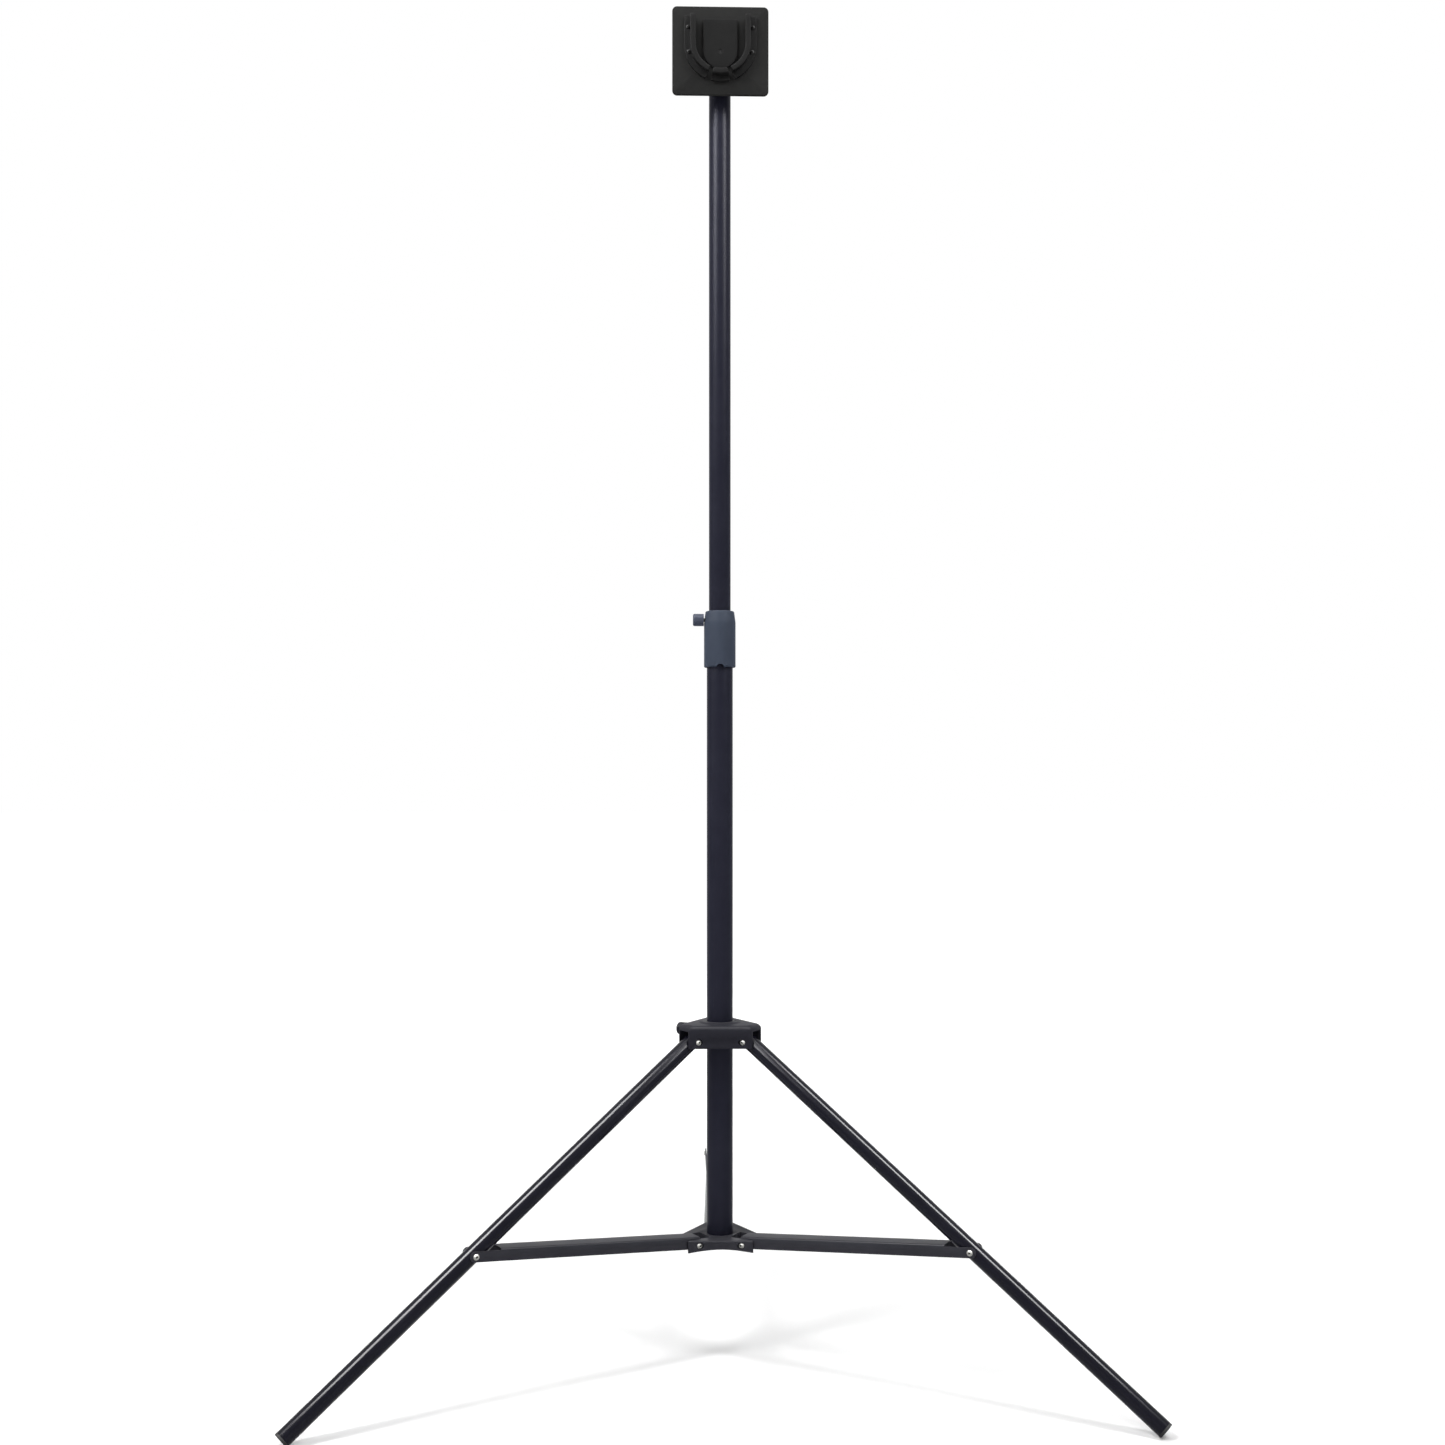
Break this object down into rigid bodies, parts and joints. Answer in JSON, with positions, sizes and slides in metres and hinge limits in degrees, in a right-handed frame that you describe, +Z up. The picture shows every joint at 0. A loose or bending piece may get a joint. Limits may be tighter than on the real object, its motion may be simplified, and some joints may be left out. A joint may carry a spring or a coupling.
{
  "type": "speaker tripod stand",
  "caption": "Tripod stand for a small loudspeaker: telescoping tube mast with a clamp collar, sliding leg hub with braced folding legs, and a flat head plate with a U-shaped slide track.",
  "frame": {"origin": "on the floor, at the middle of the stand's box in X and Y", "axes": "+Z up along the mast, -Y towards the front of the head plate, +X to the right seen from the front"},
  "size_m": [0.8988, 0.7808, 1.546],
  "materials": {
    "tube_paint": "semi-gloss black powder coat",
    "brace_paint": "semi-gloss black paint on pressed steel",
    "hub_plastic": "satin black moulding",
    "collar_plastic": "slate grey moulding",
    "knob_plastic": "blue-grey moulding",
    "plate_paint": "matte charcoal powder coat",
    "track_paint": "matte charcoal",
    "pad_plastic": "matte charcoal moulding",
    "socket_aluminium": "black casting",
    "rivet_steel": "nickel plated",
    "screw_steel": "dark nickel",
    "inner_nylon": "black nylon",
    "insert_brass": "turned brass",
    "foot_rubber": "black rubber"
  },
  "bodies": {
    "base": {"lower_tube": "tube_paint", "lower_tube_plug": "inner_nylon", "lower_hub": "hub_plastic", "lower_hub_rivet": "rivet_steel", "brace_pins": "rivet_steel", "collar": "collar_plastic", "collar_bush": "inner_nylon", "collar_insert": "insert_brass"},
    "mast": {"upper_tube": "tube_paint", "mast_glide": "inner_nylon", "upper_tube_plug": "inner_nylon"},
    "head": {"head_plate": "plate_paint", "track_left": "track_paint", "track_right": "track_paint", "stop_tab": "track_paint", "centre_pad": "pad_plastic", "pad_screw": "screw_steel", "track_screws": "screw_steel", "head_socket": "socket_aluminium", "socket_screw": "screw_steel"},
    "leg_hub": {"leg_hub": "hub_plastic", "hub_bush": "inner_nylon", "leg_pins": "rivet_steel", "hub_insert": "insert_brass"},
    "collar_clamp_shoe": {"collar_shoe": "inner_nylon"},
    "collar_clamp_knob": {"collar_stud": "rivet_steel", "collar_knob": "knob_plastic"},
    "hub_clamp_shoe": {"hub_shoe": "inner_nylon"},
    "hub_clamp_knob": {"hub_stud": "rivet_steel", "hub_knob": "hub_plastic"},
    "leg_1": {"leg_tube_1": "tube_paint", "leg_plug_1": "inner_nylon", "foot_1": "foot_rubber"},
    "brace_1": {"brace_1": "brace_paint", "brace_rivets_1": "rivet_steel"},
    "leg_2": {"leg_tube_2": "tube_paint", "leg_plug_2": "inner_nylon", "foot_2": "foot_rubber"},
    "brace_2": {"brace_2": "brace_paint", "brace_rivets_2": "rivet_steel"},
    "leg_3": {"leg_tube_3": "tube_paint", "leg_plug_3": "inner_nylon", "foot_3": "foot_rubber"},
    "brace_3": {"brace_3": "brace_paint", "brace_rivets_3": "rivet_steel"}
  },
  "joints": [
    {"name": "mast_slide", "type": "slide", "parent": "base", "child": "mast", "axis": [0, 0, 1], "range_m": [-0.558, 0.088]},
    {"name": "head_swivel", "type": "hinge", "parent": "mast", "child": "head", "pos_m": [0, -0.12651, 1.515], "axis": [0, 0, 1], "continuous": true},
    {"name": "hub_slide", "type": "slide", "parent": "base", "child": "leg_hub", "axis": [0, 0, 1], "range_m": [0, 0.37796]},
    {"name": "leg_1_fold", "type": "hinge", "parent": "leg_hub", "child": "leg_1", "pos_m": [-0.03248, -0.14526, 0.36427], "axis": [0.5, -0.866, 0], "range_deg": [0, 50.01]},
    {"name": "brace_1_fold", "type": "hinge", "parent": "base", "child": "brace_1", "pos_m": [-0.03248, -0.14526, 0.134], "axis": [-0.5, 0.866, 0], "range_deg": [0, 80.59]},
    {"name": "leg_2_fold", "type": "hinge", "parent": "leg_hub", "child": "leg_2", "pos_m": [0.03248, -0.14526, 0.36427], "axis": [0.5, 0.866, 0], "range_deg": [0, 50.01]},
    {"name": "brace_2_fold", "type": "hinge", "parent": "base", "child": "brace_2", "pos_m": [0.03248, -0.14526, 0.134], "axis": [-0.5, -0.866, 0], "range_deg": [0, 80.59]},
    {"name": "leg_3_fold", "type": "hinge", "parent": "leg_hub", "child": "leg_3", "pos_m": [0, -0.08901, 0.36427], "axis": [-1, 0, 0], "range_deg": [0, 50.01]},
    {"name": "brace_3_fold", "type": "hinge", "parent": "base", "child": "brace_3", "pos_m": [0, -0.08901, 0.134], "axis": [1, 0, 0], "range_deg": [0, 80.59]},
    {"name": "collar_shoe_slide", "type": "slide", "parent": "base", "child": "collar_clamp_shoe", "axis": [-1, 0, 0], "range_m": [0, 0.001]},
    {"name": "collar_knob_turn", "type": "hinge", "parent": "collar_clamp_shoe", "child": "collar_clamp_knob", "pos_m": [-0.02, -0.12651, 0.848], "axis": [-1, 0, 0], "range_deg": [0, 360.01]},
    {"name": "hub_shoe_slide", "type": "slide", "parent": "leg_hub", "child": "hub_clamp_shoe", "axis": [-0.866, 0.5, 0], "range_m": [0, 0.001]},
    {"name": "hub_knob_turn", "type": "hinge", "parent": "hub_clamp_shoe", "child": "hub_clamp_knob", "pos_m": [-0.03464, -0.10651, 0.37227], "axis": [-0.866, 0.5, 0], "range_deg": [0, 360.01]}
  ],
  "couplings": [
    {"joint": "leg_1_fold", "follows": "hub_slide", "rad_per_m": 2.3089},
    {"joint": "brace_1_fold", "follows": "hub_slide", "rad_per_m": 3.721},
    {"joint": "leg_2_fold", "follows": "hub_slide", "rad_per_m": 2.3089},
    {"joint": "brace_2_fold", "follows": "hub_slide", "rad_per_m": 3.721},
    {"joint": "leg_3_fold", "follows": "hub_slide", "rad_per_m": 2.3089},
    {"joint": "brace_3_fold", "follows": "hub_slide", "rad_per_m": 3.721},
    {"joint": "collar_knob_turn", "follows": "collar_shoe_slide", "rad_per_m": 6283.2},
    {"joint": "hub_knob_turn", "follows": "hub_shoe_slide", "rad_per_m": 6283.2}
  ]
}
